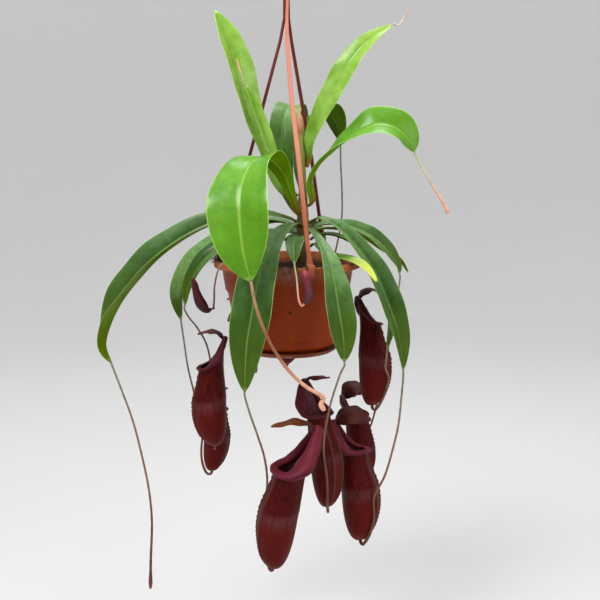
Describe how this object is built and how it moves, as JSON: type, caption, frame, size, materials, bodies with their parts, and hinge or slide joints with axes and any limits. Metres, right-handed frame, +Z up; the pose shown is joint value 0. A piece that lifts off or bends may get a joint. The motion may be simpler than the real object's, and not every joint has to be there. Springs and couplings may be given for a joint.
{
  "type": "hanging pitcher plant",
  "caption": "Tropical pitcher plant in a round plastic hanging pot: arching strap leaves, tendrils and hollow lidded pitchers, hung by a hook with strands.",
  "frame": {"origin": "The middle of the flat seat inside the crown of the hook, where the rod that carries the pot bears.", "axes": "+Z is up, along the strands from pot to hook. +X is to the right in the picture and +Y points away from the viewer."},
  "size_m": [0.3324, 0.2343, 0.649],
  "materials": {
    "pot_plastic": "terracotta-coloured moulded plastic, satin",
    "hanger_plastic": "salmon-brown moulded plastic, satin",
    "potting_mix": "loose dark bark, fibre and moss",
    "stem": "yellow-green to brown woody stem",
    "leaf_young": "bright lime green, glossy, with a pale midrib",
    "leaf_mature": "dark green, satin, with a pale midrib and a thin pale margin",
    "tendril": "tan to maroon-brown, satin",
    "pitcher": "deep maroon with a ribbed crimson lip"
  },
  "bodies": {
    "root": {"pot": "pot_plastic", "saucer": "pot_plastic", "potting_mix": "potting_mix", "hanger_hook": "hanger_plastic", "hanger_strand_front": "hanger_plastic", "hanger_strand_left": "hanger_plastic", "hanger_strand_back": "hanger_plastic", "stem": "stem", "leaf_upper_left": "leaf_young", "leaf_young": "leaf_young", "leaf_upper_right": "leaf_young", "leaf_right_arch": "leaf_young", "leaf_back_centre": "leaf_mature", "leaf_back_right": "leaf_mature", "leaf_front_left_bright": "leaf_young", "leaf_far_left": "leaf_mature", "leaf_left_outer": "leaf_mature", "leaf_left_inner": "leaf_mature", "leaf_front_left_dark": "leaf_mature", "leaf_front_right_dark": "leaf_mature", "leaf_right_long": "leaf_mature", "leaf_right_upper": "leaf_mature", "leaf_right_short": "leaf_young", "leaf_right_hanging": "leaf_mature", "leaf_front_short": "leaf_mature", "leaf_back_left": "leaf_mature", "leaf_back_far_right": "leaf_mature", "leaf_right_back_lime": "leaf_young", "leaf_left_short": "leaf_mature", "tendril_young": "tendril", "tendril_upper_right": "tendril", "tendril_right_arch": "tendril", "tendril_front_left_bright": "tendril", "tendril_far_left": "tendril", "tendril_left_outer": "tendril", "tendril_left_inner": "tendril", "tendril_front_left_dark": "tendril", "tendril_front_right_dark": "tendril", "tendril_right_long": "tendril", "tendril_right_upper": "tendril", "tendril_right_hanging": "tendril", "tendril_back_centre": "tendril", "tendril_back_right": "tendril", "tendril_front_short": "tendril", "tendril_left_short": "tendril", "pitcher_left": "pitcher", "pitcher_left_back": "pitcher", "pitcher_front": "pitcher", "pitcher_middle": "pitcher", "pitcher_right": "pitcher", "pitcher_upper_right": "pitcher", "pitcher_right_back": "pitcher", "pitcher_back_left": "pitcher", "pitcher_back_right": "pitcher", "pitcher_young_front": "pitcher", "pitcher_young_left": "pitcher"}
  },
  "joints": []
}
